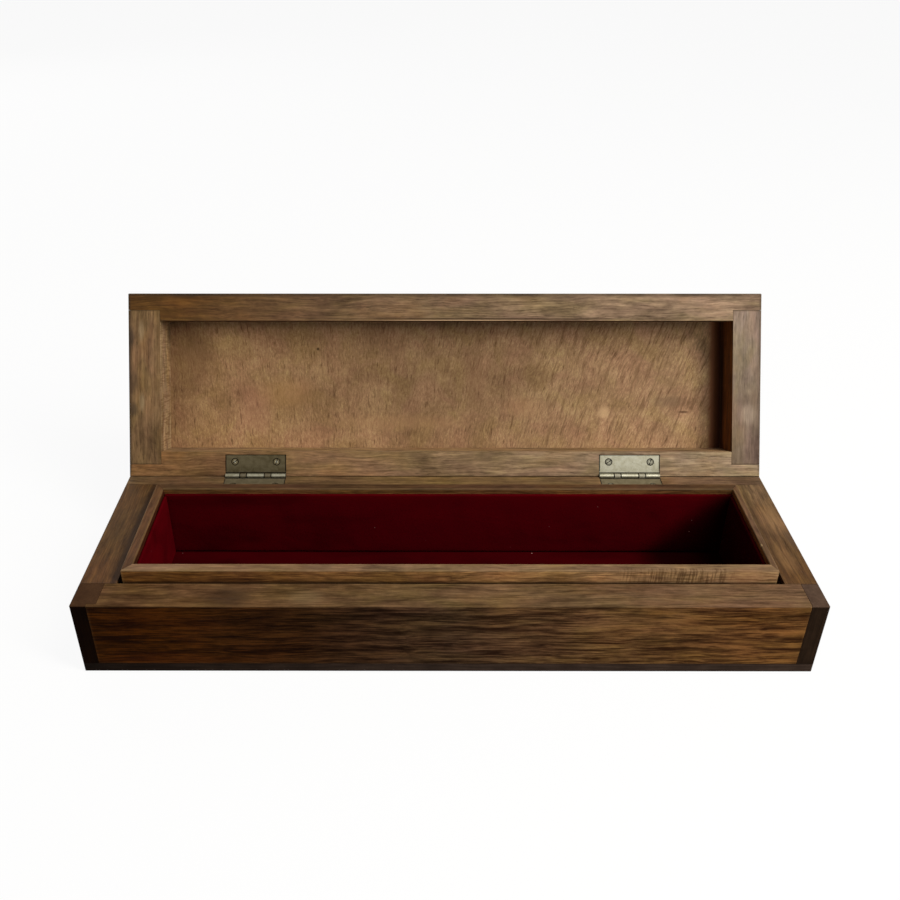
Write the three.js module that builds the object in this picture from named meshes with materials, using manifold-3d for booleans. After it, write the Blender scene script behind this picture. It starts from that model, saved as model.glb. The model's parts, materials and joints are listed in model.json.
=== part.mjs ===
// Knife display case: a long, shallow hardwood box whose lid stands open on two butt hinges.
// A mitred liner stands proud of the rim round a velvet-lined well, and the lid drops over it.
// Millimetres, +Z up, front towards -Y. The origin is the centre of the case's underside.
import * as THREE from 'three';
import { mergeVertices } from 'three/addons/utils/BufferGeometryUtils.js';
import { RoundedBoxGeometry } from 'three/addons/geometries/RoundedBoxGeometry.js';
import Module from 'manifold-3d';

const wasm = await Module();
wasm.setup();

// Case
const caseLength = 400;
const caseDepth = 118.8;
const boardHeight = 42;
const bottomThickness = 6.6;
const frontThickness = 17;
const backThickness = 18.7;
const leftThickness = 20.3;
const rightThickness = 18.2;
const backTongue = 11.6;

// Dark posts let into the front corners; the front board laps a little over the left one
const leftPostFace = 8.6;
const leftPostWidth = 13.8;
const leftPostLap = 1.6;
const rightPostWidth = 9.5;

// Lid, and the bevels along both back edges that meet when it stands open
const lidRailHeight = 24;
const lidPanelThickness = 6.3;
const lidFrontThickness = 17.1;
const lidBackThickness = 18.7;
const lidLeftThickness = 20;
const lidRightThickness = 17.8;
const lidFrontTongue = 10.4;
const lidBackTongue = 10.5;
const lidOpenAngle = 118;
const backBevel = 3.3;
const rimGap = 1;

// Mitred liner, loose between the boards on the bottom panel
const linerThickness = 5.5;
const linerRightThickness = 3.4;
const linerProud = 8.6;
const linerFrontGap = 0.9;
const linerBackGap = 3.9;
const linerLeftGap = 3.1;
const linerRightGap = 4.2;
const linerArris = 0.6;

// Velvet-covered cards round the well, and the pad on its floor
const cardThickness = 2.2;
const cardBelowLiner = 3;
const cardArris = 0.9;
const padThickness = 3.4;
const padArris = 1.2;
const liningGap = 0.35;

// Butt hinges
const leftHingeInset = 80.2;
const rightHingeInset = 82.7;
const leafLength = 38;
const leafReach = 13.2;
const leafThickness = 1.1;
const leafCorner = 0.8;
const barrelRadius = 1.6;
const pinRadius = 0.75;
const endKnuckle = 9.1;
const innerKnuckle = 4.3;
const knuckleGap = 0.35;
const pinGap = 0.25;
const mortiseGap = 0.3;

// Countersunk slotted screws
const screwEndInset = 5.8;
const screwReach = 8.9;
const screwLength = 10;
const screwHeadRadius = 2.1;
const screwHeadHeight = 1.3;
const screwShankRadius = 1.2;
const screwPointLength = 3;
const screwPointRadius = 0.3;
const screwGap = 0.3;
const slotWidth = 0.6;
const slotDepth = 0.5;
const slotTurn = 35;

// Joints and eased edges
const jointGap = 0.2;
const arris = 0.9;
const outerArris = 1.6;

// Facets
const arrisSegments = 3;
const roundSegments = 24;

// Levels and faces that several pieces share
const halfLength = caseLength / 2;
const frontFace = -caseDepth / 2;
const backFace = caseDepth / 2;
const boardFoot = bottomThickness + jointGap;
const caseRim = boardFoot + boardHeight;
const pinY = backFace - backBevel;
const pinZ = caseRim + rimGap / 2;
const lidRim = caseRim + rimGap;
const lidRailTop = lidRim + lidRailHeight;
const lidPanelFoot = lidRailTop + jointGap;
const lidTop = lidPanelFoot + lidPanelThickness;
const openAngle = THREE.MathUtils.degToRad(lidOpenAngle);
const bevelSlope = Math.tan(openAngle / 2);

const stainedOak = { color: 0x6e5338, roughness: 0.55, metalness: 0 };
const darkWood = { color: 0x33261f, roughness: 0.5, metalness: 0 };
const plywood = { color: 0x8f6f4a, roughness: 0.6, metalness: 0 };
const redVelvet = { color: 0x4a0509, roughness: 1, metalness: 0 };
const nickelPlate = { color: 0xb9b29b, roughness: 0.3, metalness: 1 };

// Three.js geometry to a solid that can be cut, and back again
function solidOf(geometry) {
  const bare = geometry.clone();
  bare.deleteAttribute('normal');
  bare.deleteAttribute('uv');
  const merged = mergeVertices(bare, 1e-4);
  const corners = merged.index.array;
  const triangles = [];
  for (let i = 0; i < corners.length; i += 3) {
    const [a, b, c] = [corners[i], corners[i + 1], corners[i + 2]];
    if (a !== b && b !== c && c !== a) triangles.push(a, b, c);
  }
  return new wasm.Manifold(new wasm.Mesh({
    numProp: 3,
    vertProperties: new Float32Array(merged.attributes.position.array),
    triVerts: new Uint32Array(triangles),
  }));
}

function geometryOf(solid) {
  const { vertProperties, triVerts } = solid.getMesh();
  const geometry = new THREE.BufferGeometry();
  geometry.setAttribute('position', new THREE.Float32BufferAttribute(vertProperties, 3));
  geometry.setIndex(new THREE.BufferAttribute(new Uint32Array(triVerts), 1));
  geometry.computeVertexNormals();
  return geometry;
}

// Basic shapes, each given by the faces that it lies between
function box([x0, y0, z0], [x1, y1, z1]) {
  const geometry = new THREE.BoxGeometry(x1 - x0, y1 - y0, z1 - z0);
  return solidOf(geometry.translate((x0 + x1) / 2, (y0 + y1) / 2, (z0 + z1) / 2));
}

function softBox([x0, y0, z0], [x1, y1, z1], radius) {
  const geometry = new RoundedBoxGeometry(x1 - x0, y1 - y0, z1 - z0, 2, radius);
  return solidOf(geometry.translate((x0 + x1) / 2, (y0 + y1) / 2, (z0 + z1) / 2));
}

function polygon(points) {
  return new THREE.Shape(points.map(([x, y]) => new THREE.Vector2(x, y)));
}

// A rectangle with its four corners rounded, from the lower left one anticlockwise
function roundedRectangle(x0, y0, x1, y1, [a, b, c, d]) {
  const shape = new THREE.Shape();
  shape.moveTo(x0 + a, y0);
  shape.lineTo(x1 - b, y0);
  if (b > 0) shape.absarc(x1 - b, y0 + b, b, -Math.PI / 2, 0);
  shape.lineTo(x1, y1 - c);
  if (c > 0) shape.absarc(x1 - c, y1 - c, c, 0, Math.PI / 2);
  shape.lineTo(x0 + d, y1);
  if (d > 0) shape.absarc(x0 + d, y1 - d, d, Math.PI / 2, Math.PI);
  shape.lineTo(x0, y0 + a);
  if (a > 0) shape.absarc(x0 + a, y0 + a, a, Math.PI, Math.PI * 1.5);
  return shape;
}

function extrude(shape, depth) {
  return new THREE.ExtrudeGeometry(shape, {
    depth,
    bevelEnabled: false,
    curveSegments: arrisSegments,
  });
}

// An outline in X and Y between two levels
function extrudeZ(shape, z0, z1) {
  return solidOf(extrude(shape, z1 - z0).translate(0, 0, z0));
}

// A section in Y and Z, run along the length
const lengthwise = new THREE.Matrix4().makeBasis(
  new THREE.Vector3(0, 1, 0), new THREE.Vector3(0, 0, 1), new THREE.Vector3(1, 0, 0));

function extrudeX(shape, x0, x1) {
  return solidOf(extrude(shape, x1 - x0).applyMatrix4(lengthwise).translate(x0, 0, 0));
}

// A section in X and Z, run from front to back
const crosswise = new THREE.Matrix4().makeBasis(
  new THREE.Vector3(1, 0, 0), new THREE.Vector3(0, 0, 1), new THREE.Vector3(0, -1, 0));

function extrudeY(shape, y0, y1) {
  return solidOf(extrude(shape, y1 - y0).applyMatrix4(crosswise).translate(0, y1, 0));
}

// A turned piece, its profile given as radius and height and laid along X or Z
function turned(profile) {
  const points = profile.map(([radius, height]) => new THREE.Vector2(radius, height));
  return new THREE.LatheGeometry(points, roundSegments);
}

function turnedX(profile, x, y, z) {
  return solidOf(turned(profile).rotateZ(-Math.PI / 2).translate(x, y, z));
}

function turnedZ(profile, up, x, y, z) {
  return solidOf(turned(profile).rotateX(up * Math.PI / 2).translate(x, y, z));
}

function cylinderX(radius, x0, x1, y, z) {
  return turnedX([[0, 0], [radius, 0], [radius, x1 - x0], [0, x1 - x0]], x0, y, z);
}

// The wedge planed off a back edge, below the case's rim or above the lid's
function bevelWedge(rim, inwards) {
  const reach = 2 * backBevel;
  return extrudeX(polygon([
    [pinY, rim],
    [pinY + reach, rim + inwards * reach * bevelSlope],
    [pinY + reach, rim - inwards * reach],
    [pinY, rim - inwards * reach],
  ]), -caseLength, caseLength);
}

// The outside of a box after sanding: corners, long edges and short edges eased in turn
function sandedBox(z0, z1, [frontLow, backLow, backHigh, frontHigh], sideLow, sideHigh) {
  const ends = roundedRectangle(frontFace, z0, backFace, z1,
    [frontLow, backLow, backHigh, frontHigh]);
  const faces = roundedRectangle(-halfLength, z0, halfLength, z1,
    [sideLow, sideLow, sideHigh, sideHigh]);
  const plan = roundedRectangle(-halfLength, frontFace, halfLength, backFace,
    [arris, arris, arris, arris]);
  return extrudeX(ends, -halfLength, halfLength)
    .intersect(extrudeY(faces, frontFace, backFace))
    .intersect(extrudeZ(plan, z0, z1));
}

const caseOutside = sandedBox(0, caseRim, [outerArris, outerArris, 0, arris], outerArris, arris)
  .subtract(bevelWedge(caseRim, -1));
const lidOutside = sandedBox(lidRim, lidTop, [arris, 0, outerArris, outerArris], arris, outerArris)
  .subtract(bevelWedge(lidRim, 1));

// Hinges: up is -1 for the leaf let into the case and 1 for the leaf let into the lid
const hinges = [
  { name: 'left_hinge', middle: -halfLength + leftHingeInset },
  { name: 'right_hinge', middle: halfLength - rightHingeInset },
];
const leafFaceOffset = barrelRadius - leafThickness;
const boreRadius = pinRadius + pinGap;

function screwPlaces(middle) {
  const offset = leafLength / 2 - screwEndInset;
  return [-offset, offset].map((x) => [middle + x, pinY - screwReach]);
}

function span(a, b) {
  return [Math.min(a, b), Math.max(a, b)];
}

// What a hinge takes out of the wood: a mortise open at the back, and a hole for each screw
function cutForHinge(board, middle, up) {
  const [low, high] = span(pinZ, pinZ + up * (barrelRadius + mortiseGap));
  const mortise = box(
    [middle - leafLength / 2 - mortiseGap, pinY - leafReach - mortiseGap, low],
    [middle + leafLength / 2 + mortiseGap, backFace + mortiseGap, high]);
  const radius = screwShankRadius + screwGap;
  const depth = screwLength + screwGap;
  const hole = [[0, -depth], [radius, -depth], [radius, 0], [0, 0]];
  return screwPlaces(middle).reduce(
    (cut, [x, y]) => cut.subtract(turnedZ(hole, -up, x, y, pinZ + up * leafFaceOffset)),
    board.subtract(mortise));
}

// Knuckles from left to right: the lid's leaf has the first, third and fifth
const knuckleEdges = [
  -leafLength / 2,
  -leafLength / 2 + endKnuckle,
  -leafLength / 2 + endKnuckle + innerKnuckle,
  leafLength / 2 - endKnuckle - innerKnuckle,
  leafLength / 2 - endKnuckle,
  leafLength / 2,
];

// One leaf: a plate level with the barrel's edge, its knuckles, and two countersunk holes
function hingeLeaf(middle, up, isOwnKnuckle) {
  const [low, high] = span(pinZ + up * leafFaceOffset, pinZ + up * barrelRadius);
  let leaf = extrudeZ(roundedRectangle(
    middle - leafLength / 2, pinY - leafReach, middle + leafLength / 2, pinY,
    [leafCorner, leafCorner, 0, 0]), low, high);
  for (let i = 0; i < knuckleEdges.length - 1; i += 1) {
    const start = middle + knuckleEdges[i];
    const end = middle + knuckleEdges[i + 1];
    if (isOwnKnuckle(i)) {
      leaf = leaf.add(cylinderX(barrelRadius, start, end, pinY, pinZ));
    }
  }
  for (let i = 0; i < knuckleEdges.length - 1; i += 1) {
    if (!isOwnKnuckle(i)) {
      leaf = leaf.subtract(box(
        [middle + knuckleEdges[i] - knuckleGap, pinY - barrelRadius - knuckleGap,
          pinZ - 2 * barrelRadius],
        [middle + knuckleEdges[i + 1] + knuckleGap, pinY + 2 * barrelRadius,
          pinZ + 2 * barrelRadius]));
    }
  }
  leaf = leaf.subtract(
    cylinderX(boreRadius, middle - leafLength, middle + leafLength, pinY, pinZ));
  const countersink = [
    [0, -2 * screwHeadHeight],
    [screwShankRadius + screwGap, -2 * screwHeadHeight],
    [screwShankRadius + screwGap, -screwHeadHeight],
    [screwHeadRadius + screwGap, 0],
    [screwHeadRadius + screwGap, screwGap],
    [0, screwGap],
  ];
  return screwPlaces(middle).reduce(
    (cut, [x, y]) => cut.subtract(turnedZ(countersink, -up, x, y, pinZ + up * leafFaceOffset)),
    leaf);
}

function hingePin(middle) {
  const half = leafLength / 2;
  const chamfer = pinRadius / 4;
  return turnedX([
    [0, -half], [pinRadius - chamfer, -half], [pinRadius, -half + chamfer],
    [pinRadius, half - chamfer], [pinRadius - chamfer, half], [0, half],
  ], middle, pinY, pinZ);
}

function slottedScrew(x, y, up, turn) {
  const body = turnedZ([
    [0, -screwLength], [screwPointRadius, -screwLength],
    [screwShankRadius, -screwLength + screwPointLength],
    [screwShankRadius, -screwHeadHeight], [screwHeadRadius, 0], [0, 0],
  ], -up, 0, 0, 0);
  const slot = new THREE.BoxGeometry(3 * screwHeadRadius, slotWidth, 2 * slotDepth);
  slot.rotateZ(THREE.MathUtils.degToRad(turn));
  return body.subtract(solidOf(slot)).translate([x, y, pinZ + up * leafFaceOffset]);
}

// Board outlines in X and Y
const frontInner = frontFace + frontThickness;
const backInner = backFace - backThickness;
const leftInner = -halfLength + leftThickness;
const rightInner = halfLength - rightThickness;
const leftPostEdge = -halfLength + leftPostFace;
const leftPostInner = -halfLength + leftPostWidth;
const leftPostFront = frontFace + leftPostLap;
const rightPostEdge = halfLength - rightPostWidth;

const leftPostOutline = [
  [-halfLength, frontFace], [leftPostEdge, frontFace], [leftPostEdge, leftPostFront],
  [leftPostInner, leftPostFront], [leftPostInner, frontInner], [-halfLength, frontInner],
];
const rightPostOutline = [
  [rightPostEdge, frontFace], [halfLength, frontFace],
  [halfLength, frontInner], [rightPostEdge, frontInner],
];
const frontBoardOutline = [
  [leftPostEdge + jointGap, frontFace], [rightPostEdge - jointGap, frontFace],
  [rightPostEdge - jointGap, frontInner], [leftPostInner + jointGap, frontInner],
  [leftPostInner + jointGap, leftPostFront - jointGap],
  [leftPostEdge + jointGap, leftPostFront - jointGap],
];

// A long board whose outer tongue runs past its shoulders to both ends
function rabbetedOutline(outer, tongueInner, inner, leftShoulder, rightShoulder) {
  return [
    [-halfLength, outer], [halfLength, outer], [halfLength, tongueInner],
    [rightShoulder, tongueInner], [rightShoulder, inner], [leftShoulder, inner],
    [leftShoulder, tongueInner], [-halfLength, tongueInner],
  ];
}

// A short board that butts against a neighbour in front and sits in a rabbet behind
function shortOutline(outer, inner, front, back) {
  return [[outer, front], [inner, front], [inner, back], [outer, back]];
}

function caseBoard(outline) {
  return extrudeZ(polygon(outline), boardFoot, caseRim).intersect(caseOutside);
}

function lidBoard(outline) {
  return extrudeZ(polygon(outline), lidRim, lidRailTop).intersect(lidOutside);
}

const sideFront = frontInner + jointGap;
const sideBack = backFace - backTongue - jointGap;
const backBoardOutline = rabbetedOutline(
  backFace, backFace - backTongue, backInner, leftInner + jointGap, rightInner - jointGap);

const lidLeftInner = -halfLength + lidLeftThickness;
const lidRightInner = halfLength - lidRightThickness;
const lidSideFront = frontFace + lidFrontTongue + jointGap;
const lidSideBack = backFace - lidBackTongue - jointGap;
const lidFrontOutline = rabbetedOutline(
  frontFace, frontFace + lidFrontTongue, frontFace + lidFrontThickness,
  lidLeftInner + jointGap, lidRightInner - jointGap);
const lidBackOutline = rabbetedOutline(
  backFace, backFace - lidBackTongue, backFace - lidBackThickness,
  lidLeftInner + jointGap, lidRightInner - jointGap);

const caseBack = hinges.reduce(
  (board, { middle }) => cutForHinge(board, middle, -1), caseBoard(backBoardOutline));
const lidBack = hinges.reduce(
  (board, { middle }) => cutForHinge(board, middle, 1), lidBoard(lidBackOutline));
const bottomPanel = box([-halfLength, frontFace, 0], [halfLength, backFace, bottomThickness])
  .intersect(caseOutside);
const lidPanel = box([-halfLength, frontFace, lidPanelFoot], [halfLength, backFace, lidTop])
  .intersect(lidOutside);

// Liner strips, with the outer faces of their frame as limits and mitres at its corners
const linerTop = caseRim + linerProud;
const linerLeft = leftInner + linerLeftGap;
const linerRight = rightInner - linerRightGap;
const linerFront = frontInner + linerFrontGap;
const linerBack = backInner - linerBackGap;
const mitreGap = jointGap / 2;

function linerSection(outer, inner) {
  const [a, b] = span(outer, inner);
  return roundedRectangle(a, boardFoot, b, linerTop, [0, 0, linerArris, linerArris]);
}

function longLinerStrip(outer, inner) {
  const plan = polygon([
    [linerLeft + mitreGap, outer], [linerRight - mitreGap, outer],
    [linerRight - linerRightThickness - mitreGap, inner],
    [linerLeft + linerThickness + mitreGap, inner],
  ]);
  return extrudeX(linerSection(outer, inner), linerLeft, linerRight)
    .intersect(extrudeZ(plan, boardFoot, linerTop));
}

function shortLinerStrip(outer, inner) {
  const plan = polygon([
    [outer, linerFront + mitreGap], [outer, linerBack - mitreGap],
    [inner, linerBack - linerThickness - mitreGap],
    [inner, linerFront + linerThickness + mitreGap],
  ]);
  return extrudeY(linerSection(outer, inner), linerFront, linerBack)
    .intersect(extrudeZ(plan, boardFoot, linerTop));
}

// Velvet lining: the long cards run the whole length and the short ones stand between them
const wellLeft = linerLeft + linerThickness + liningGap;
const wellRight = linerRight - linerRightThickness - liningGap;
const wellFront = linerFront + linerThickness + liningGap;
const wellBack = linerBack - linerThickness - liningGap;
const padTop = boardFoot + padThickness;
const cardFoot = padTop + liningGap;
const cardTop = linerTop - cardBelowLiner;
const shortCardFront = wellFront + cardThickness + liningGap;
const shortCardBack = wellBack - cardThickness - liningGap;

function card([x0, x1], [y0, y1]) {
  return softBox([x0, y0, cardFoot], [x1, y1, cardTop], cardArris);
}

const floorPad = softBox(
  [wellLeft, wellFront, boardFoot], [wellRight, wellBack, padTop], padArris);
const frontCard = card([wellLeft, wellRight], [wellFront, wellFront + cardThickness]);
const backCard = card([wellLeft, wellRight], [wellBack - cardThickness, wellBack]);
const leftCard = card([wellLeft, wellLeft + cardThickness], [shortCardFront, shortCardBack]);
const rightCard = card([wellRight - cardThickness, wellRight], [shortCardFront, shortCardBack]);

// Assembly: the lid's pieces are shaped as they lie when it is shut, and turn about the pins
const displayCase = new THREE.Group();
const lid = new THREE.Group();
lid.position.set(0, pinY, pinZ);
lid.rotation.x = -openAngle;
displayCase.add(lid);

function addToCase(name, solid, finish) {
  const mesh = new THREE.Mesh(geometryOf(solid), new THREE.MeshStandardMaterial(finish));
  mesh.name = name;
  displayCase.add(mesh);
}

function addToLid(name, solid, finish) {
  const mesh = new THREE.Mesh(geometryOf(solid), new THREE.MeshStandardMaterial(finish));
  mesh.name = name;
  mesh.position.set(0, -pinY, -pinZ);
  lid.add(mesh);
}

addToCase('case_front_board', caseBoard(frontBoardOutline), stainedOak);
addToCase('case_back_board', caseBack, stainedOak);
addToCase('case_left_board',
  caseBoard(shortOutline(-halfLength, leftInner, sideFront, sideBack)), stainedOak);
addToCase('case_right_board',
  caseBoard(shortOutline(halfLength, rightInner, sideFront, sideBack)), stainedOak);
addToCase('case_bottom_panel', bottomPanel, darkWood);
addToCase('left_corner_post', caseBoard(leftPostOutline), darkWood);
addToCase('right_corner_post', caseBoard(rightPostOutline), darkWood);

addToCase('liner_front_strip', longLinerStrip(linerFront, linerFront + linerThickness), stainedOak);
addToCase('liner_back_strip', longLinerStrip(linerBack, linerBack - linerThickness), stainedOak);
addToCase('liner_left_strip', shortLinerStrip(linerLeft, linerLeft + linerThickness), stainedOak);
addToCase('liner_right_strip',
  shortLinerStrip(linerRight, linerRight - linerRightThickness), stainedOak);

addToCase('lining_floor_pad', floorPad, redVelvet);
addToCase('lining_front_card', frontCard, redVelvet);
addToCase('lining_back_card', backCard, redVelvet);
addToCase('lining_left_card', leftCard, redVelvet);
addToCase('lining_right_card', rightCard, redVelvet);

addToLid('lid_front_rail', lidBoard(lidFrontOutline), stainedOak);
addToLid('lid_back_rail', lidBack, stainedOak);
addToLid('lid_left_stile',
  lidBoard(shortOutline(-halfLength, lidLeftInner, lidSideFront, lidSideBack)), stainedOak);
addToLid('lid_right_stile',
  lidBoard(shortOutline(halfLength, lidRightInner, lidSideFront, lidSideBack)), stainedOak);
addToLid('lid_top_panel', lidPanel, plywood);

for (const { name, middle } of hinges) {
  addToCase(`${name}_case_leaf`, hingeLeaf(middle, -1, (i) => i % 2 === 1), nickelPlate);
  addToCase(`${name}_pin`, hingePin(middle), nickelPlate);
  addToLid(`${name}_lid_leaf`, hingeLeaf(middle, 1, (i) => i % 2 === 0), nickelPlate);
  screwPlaces(middle).forEach(([x, y], i) => {
    const number = i + 1;
    addToCase(`${name}_case_screw_${number}`,
      slottedScrew(x, y, -1, number * slotTurn), nickelPlate);
    addToLid(`${name}_lid_screw_${number}`,
      slottedScrew(x, y, 1, -number * slotTurn), nickelPlate);
  });
}

export default displayCase;
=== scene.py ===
"""Display case for a knife: a stained oak box on which the CAD model gives every hard piece its shape and place.

This script gives each of those pieces its finish, and makes the velvet lining as new pieces:
a stuffed pad on the floor of the well and four velvet-covered cards round it.
Metres, +Z up, front towards -Y. The lid is modelled open, and turns about the hinge pins.
"""
import json  # noqa: E402
import math  # noqa: E402

import bpy  # noqa: E402
import numpy as np  # noqa: E402
from mathutils import Matrix, Vector  # noqa: E402


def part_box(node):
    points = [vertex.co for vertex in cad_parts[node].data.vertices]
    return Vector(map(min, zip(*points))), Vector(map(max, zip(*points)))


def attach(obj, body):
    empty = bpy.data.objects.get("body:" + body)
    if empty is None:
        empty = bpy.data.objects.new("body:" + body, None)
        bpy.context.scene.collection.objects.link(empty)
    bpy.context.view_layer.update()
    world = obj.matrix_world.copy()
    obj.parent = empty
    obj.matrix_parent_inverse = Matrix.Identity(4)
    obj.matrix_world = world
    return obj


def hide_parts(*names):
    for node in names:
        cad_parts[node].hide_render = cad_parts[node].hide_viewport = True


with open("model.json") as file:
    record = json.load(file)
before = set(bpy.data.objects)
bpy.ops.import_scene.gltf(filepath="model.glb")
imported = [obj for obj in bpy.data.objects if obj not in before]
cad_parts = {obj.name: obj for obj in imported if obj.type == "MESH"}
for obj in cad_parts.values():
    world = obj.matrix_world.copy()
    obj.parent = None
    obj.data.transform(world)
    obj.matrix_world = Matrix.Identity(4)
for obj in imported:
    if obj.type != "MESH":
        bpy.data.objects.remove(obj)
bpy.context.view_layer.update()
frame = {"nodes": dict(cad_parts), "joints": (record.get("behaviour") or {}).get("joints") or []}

bl_info = {
    "name": "Knife display case",
    "version": (1, 0, 0),
    "blender": (4, 5, 0),
    "location": "3D View > Sidebar > Display Case",
    "description": "Finishes for a stained oak display case, and its velvet lining",
    "category": "Object",
}

MM = 0.001
LID = frame["joints"][0]
PIN = Vector(LID["pos_m"])
# Turning the lid's pieces by this about the pin lays their patterns out as if the lid were shut.
SHUT = math.radians(LID["range_deg"][1])
QUARTER = math.radians(90)


# ------------------------------------------------------------------ small helpers


def linear(colour):
    """An sRGB hex value such as "#6a4c33", as linear red, green and blue with full alpha."""
    parts = [int(colour[i : i + 2], 16) / 255 for i in (1, 3, 5)]
    return tuple(c / 12.92 if c <= 0.04045 else ((c + 0.055) / 1.055) ** 2.4 for c in parts) + (1,)


def shade(colour, factor=1.0):
    """A linear colour, made darker or lighter, with full alpha."""
    return tuple(factor * c for c in tuple(colour)[:3]) + (1,)


def tint(name, description, colour):
    """A colour property, with an sRGB default."""
    default = linear(colour)[:3]
    return bpy.props.FloatVectorProperty(
        name=name, description=description, subtype="COLOR", min=0, max=1, default=default
    )


def dial(name, description, default, low, high, **more):
    """A number property and its range."""
    return bpy.props.FloatProperty(name=name, description=description, default=default, min=low, max=high, **more)


def adder(tree):
    """Empties a node tree and returns the function that adds a node to it."""
    tree.nodes.clear()

    def add(kind, links=(), out=0, stops=(), **settings):
        """Adds a node with its settings. links gives its inputs, in order or by name or number, a value or another
        node's output. stops are a colour ramp's places and colours, sRGB hex values or linear. Returns the output
        that out names."""
        made = tree.nodes.new("ShaderNode" + kind)
        for key, value in settings.items():
            setattr(made, key, value)
        for key, value in links.items() if isinstance(links, dict) else enumerate(links):
            if isinstance(value, bpy.types.NodeSocket):
                tree.links.new(value, made.inputs[key])
            else:
                made.inputs[key].default_value = value
        for _ in stops[2:]:
            made.color_ramp.elements.new(1.0)
        for number, (place, colour) in enumerate(stops):
            element = made.color_ramp.elements[number]
            element.position, element.color = place, linear(colour) if isinstance(colour, str) else colour
        return made.outputs[out] if made.outputs else made

    return add


def finish_for(name):
    """A new material, and the function that adds a node to it."""
    material = bpy.data.materials.new(name)
    material.use_nodes = True
    return material, adder(material.node_tree)


def stretched(add, vector, scale, shift=(0, 0, 0), detail=2.0, roughness=0.5, distortion=0.0):
    """Noise with scale waves to the millimetre along each axis."""
    vector = add("Mapping", {"Vector": vector, "Location": shift, "Scale": scale})
    dials = {"Vector": vector, "Scale": 1.0, "Detail": detail, "Roughness": roughness, "Distortion": distortion}
    return add("TexNoise", dials)


def paint(add, colour, ink, amount, strength=1.0, blend_type="MIX"):
    """The colour with an ink laid over it, or blended with it, as thickly as amount times strength says. The ink
    is an sRGB hex value, a linear colour or a node's output."""
    if strength != 1.0:
        amount = add("Math", (amount, strength), operation="MULTIPLY")
    links = {0: amount, 6: colour, 7: linear(ink) if isinstance(ink, str) else ink}
    return add("Mix", links, data_type="RGBA", blend_type=blend_type, out=2)


def coat(add, relief, strength, height, dials):
    """The surface of a finish: its dials, and a relief that stands up by as much as height, in millimetres."""
    bump = add("Bump", {"Strength": strength, "Distance": height * MM, "Height": relief})
    add("OutputMaterial", (add("BsdfPrincipled", {"Normal": bump, **dials}),))


def measured(add, location, turn=(0, 0, 0)):
    """A point's place in metres, and the same in millimetres once it is turned and moved to location."""
    place = add("TexCoord", out="Object")
    return place, add("Mapping", {"Vector": place, "Location": location, "Rotation": turn, "Scale": (1 / MM,) * 3})


def laid(add, piece, turn):
    """For a CAD piece: millimetres from its middle once turn has laid it flat, its half size and its heart."""
    middle, half, heart = laid_out(piece, turn)
    return measured(add, [-m for m in middle], turn)[1], half, heart


def from_edges(add, here, half):
    """How far a point lies from the two sides that face along each axis."""
    away = add("VectorMath", (here,), operation="ABSOLUTE")
    inset = add("VectorMath", (half, away), operation="SUBTRACT")
    return add("SeparateXYZ", (inset,)).node.outputs


def round_spot(add, here, centre, reach, core):
    """1 within core times reach of the centre, falling to 0 at its reach."""
    scale = [1 / r if r else 0 for r in reach]
    near = add("Mapping", {"Vector": here, "Location": [-c * s for c, s in zip(centre, scale)], "Scale": scale})
    length = add("VectorMath", (near,), operation="LENGTH", out="Value")
    return near, add("MapRange", (length, 1.0, core), interpolation_type="SMOOTHSTEP")


def dress(piece, material):
    """The piece's only material."""
    piece.data.materials.clear()
    piece.data.materials.append(material)


def laid_out(piece, turn):
    """A CAD piece's middle and half size in millimetres, once a Mapping node has turned it by turn, and the same
    middle as a maker would measure it on the shut case: turning about the origin instead of the pin leaves the two
    apart."""
    points = np.empty(len(piece.data.vertices) * 3, np.float32)
    piece.data.vertices.foreach_get("co", points)
    shut, quarter = Matrix.Rotation(turn[0], 3, "X"), Matrix.Rotation(turn[2], 3, "Z")
    turned = points.reshape(-1, 3) @ np.array(quarter @ shut).T / MM
    low, high = turned.min(0), turned.max(0)
    lag = np.array(quarter @ (PIN - shut @ PIN)) / MM
    middle = (low + high) / 2
    return [float(x) for x in middle], [float(x) for x in (high - low) / 2], [float(x) for x in middle + lag]


# ------------------------------------------------------------------ settings


class DisplayCaseWood(bpy.types.PropertyGroup):
    """The stained oak and the plywood panel."""

    face_dark: tint("Face, dark grain", "Darkest grain on the outer faces", "#3c2410")
    face_middle: tint("Face, stain", "Main colour of the outer faces", "#6a4b2c")
    face_light: tint("Face, light grain", "Lightest grain on the outer faces", "#936c40")
    rim_dark: tint("Rim, dark grain", "Darkest grain on the sanded rims", "#5a4531")
    rim_middle: tint("Rim, stain", "Main colour of the sanded rims", "#7b6148")
    rim_light: tint("Rim, light grain", "Lightest grain on the sanded rims", "#96795a")
    pore_width: dial("Pore width", "Distance between pores across the grain, in millimetres", 0.55, 0.2, 3)
    roughness: dial("Roughness", "Roughness of the oiled surface", 0.6, 0.2, 1, subtype="FACTOR")


class DisplayCaseVelvet(bpy.types.PropertyGroup):
    """The lining of the well."""

    colour: tint("Velvet", "Colour of the pile", "#450107")
    nap: tint("Nap", "Colour of the pile's tips where light grazes them", "#5a0007")
    crown: dial(
        "Card crown", "How far a card's face swells in its middle", 0.35 * MM, 0, 1 * MM, subtype="DISTANCE",
        unit="LENGTH",
    )
    cord: dial("Pile spacing", "Distance between tufts, drawn coarse enough to show, in millimetres", 0.6, 0.2, 2)
    fill: dial("Pad fill", "How tightly the floor pad is stuffed", 0.7, 0, 1, subtype="FACTOR")


class DisplayCaseMetal(bpy.types.PropertyGroup):
    """The two butt hinges."""

    bright: tint("Nickel", "Colour of the bright nickel plate", "#aba895")
    # Besides tarnish, this darker plate is painted reflection and shade on the left lid leaf and the case leaves.
    dull: tint("Tarnish", "Colour of the tarnished nickel plate", "#5b523d")
    brushing: dial("Scratch spacing", "Distance between polishing scratches, in millimetres", 0.4, 0.1, 2)


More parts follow.
